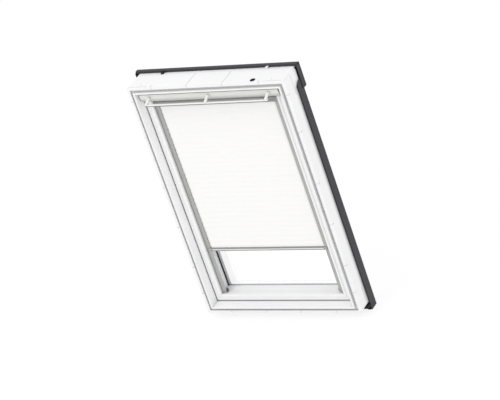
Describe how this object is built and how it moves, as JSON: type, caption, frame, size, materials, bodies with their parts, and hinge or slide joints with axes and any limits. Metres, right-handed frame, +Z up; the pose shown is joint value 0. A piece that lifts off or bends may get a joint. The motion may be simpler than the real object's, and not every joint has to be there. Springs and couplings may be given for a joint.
{
  "type": "roof window with pleated blind",
  "caption": "Centre-pivot roof window: white moulded frame and sash, double glass, dark outside covers, vent flap with control bar, and a honeycomb blind on side rails.",
  "frame": {"origin": "middle of the frame's underside, half way through the frame's depth", "axes": "+X across the window to the right as seen from the room, +Z up the window, +Y through the window from the room to the weather"},
  "size_m": [0.7984, 0.1751, 1.221],
  "materials": {
    "white_moulding": "satin white moulded polyurethane",
    "cladding": "dark grey powder-coated aluminium sheet",
    "black_rubber": "matt black",
    "grey_rail": "satin grey",
    "flap_paint": "satin light grey",
    "white_bar": "satin white",
    "cloth": "matt off-white honeycomb cloth",
    "glass": "clear",
    "spacer": "satin grey",
    "steel": "zinc plated",
    "dark_plastic": "dark grey",
    "cord": "braided"
  },
  "bodies": {
    "frame": {"frame_top": "white_moulding", "frame_bottom": "white_moulding", "frame_left": "white_moulding", "frame_right": "white_moulding", "lock_keep": "steel", "frame_pivot_plate_left": "steel", "frame_pivot_plate_right": "steel", "hood": "cladding", "side_cover_upper_left": "cladding", "side_cover_upper_right": "cladding", "side_cover_lower_left": "cladding", "side_cover_lower_right": "cladding", "cover_foot_left": "black_rubber", "cover_foot_right": "black_rubber"},
    "sash": {"sash_top": "white_moulding", "sash_bottom": "white_moulding", "sash_left": "white_moulding", "sash_right": "white_moulding", "sash_seal": "black_rubber", "glazing_gasket": "black_rubber", "glass_inner": "glass", "glass_spacer": "spacer", "glass_outer": "glass", "sash_cover_top": "cladding", "sash_cover_bottom": "cladding", "sash_cover_left": "cladding", "sash_cover_right": "cladding", "pivot_pin_left": "steel", "pivot_pin_right": "steel", "flap_hinge_rod": "steel", "headrail": "grey_rail", "headrail_cap_left": "grey_rail", "headrail_cap_right": "grey_rail", "rail_left": "grey_rail", "rail_right": "grey_rail", "rail_foot_left": "grey_rail", "rail_foot_right": "grey_rail", "rail_clip_left": "dark_plastic", "rail_clip_right": "dark_plastic", "tension_cord_left": "cord", "tension_cord_right": "cord", "honeycomb_cloth": "cloth"},
    "flap": {"vent_flap": "flap_paint", "control_bar": "white_bar", "control_bar_cap_left": "white_bar", "control_bar_cap_right": "white_bar", "bar_bracket_left": "white_bar", "bar_bracket_centre": "white_bar", "bar_bracket_right": "white_bar"},
    "bolt": {"lock_bolt": "steel"},
    "blind_bar": {"bottom_bar": "grey_rail", "end_shoe_left": "grey_rail", "end_shoe_right": "grey_rail"}
  },
  "joints": [
    {"name": "sash_pivot", "type": "hinge", "parent": "frame", "child": "sash", "pos_m": [0, 0.015, 0.589], "axis": [1, 0, 0], "range_deg": [0, 160]},
    {"name": "flap_hinge", "type": "hinge", "parent": "sash", "child": "flap", "pos_m": [0, -0.0335, 1.103], "axis": [1, 0, 0], "range_deg": [0, 35]},
    {"name": "lock_slide", "type": "slide", "parent": "sash", "child": "bolt", "axis": [0, 0, 1], "range_m": [-0.009, 0]},
    {"name": "blind_slide", "type": "slide", "parent": "sash", "child": "blind_bar", "axis": [0, 0, 1], "range_m": [-0.206, 0.668], "deforming": ["honeycomb_cloth"]}
  ],
  "couplings": [
    {"joint": "lock_slide", "follows": "flap_hinge", "m_per_rad": -0.01473}
  ]
}
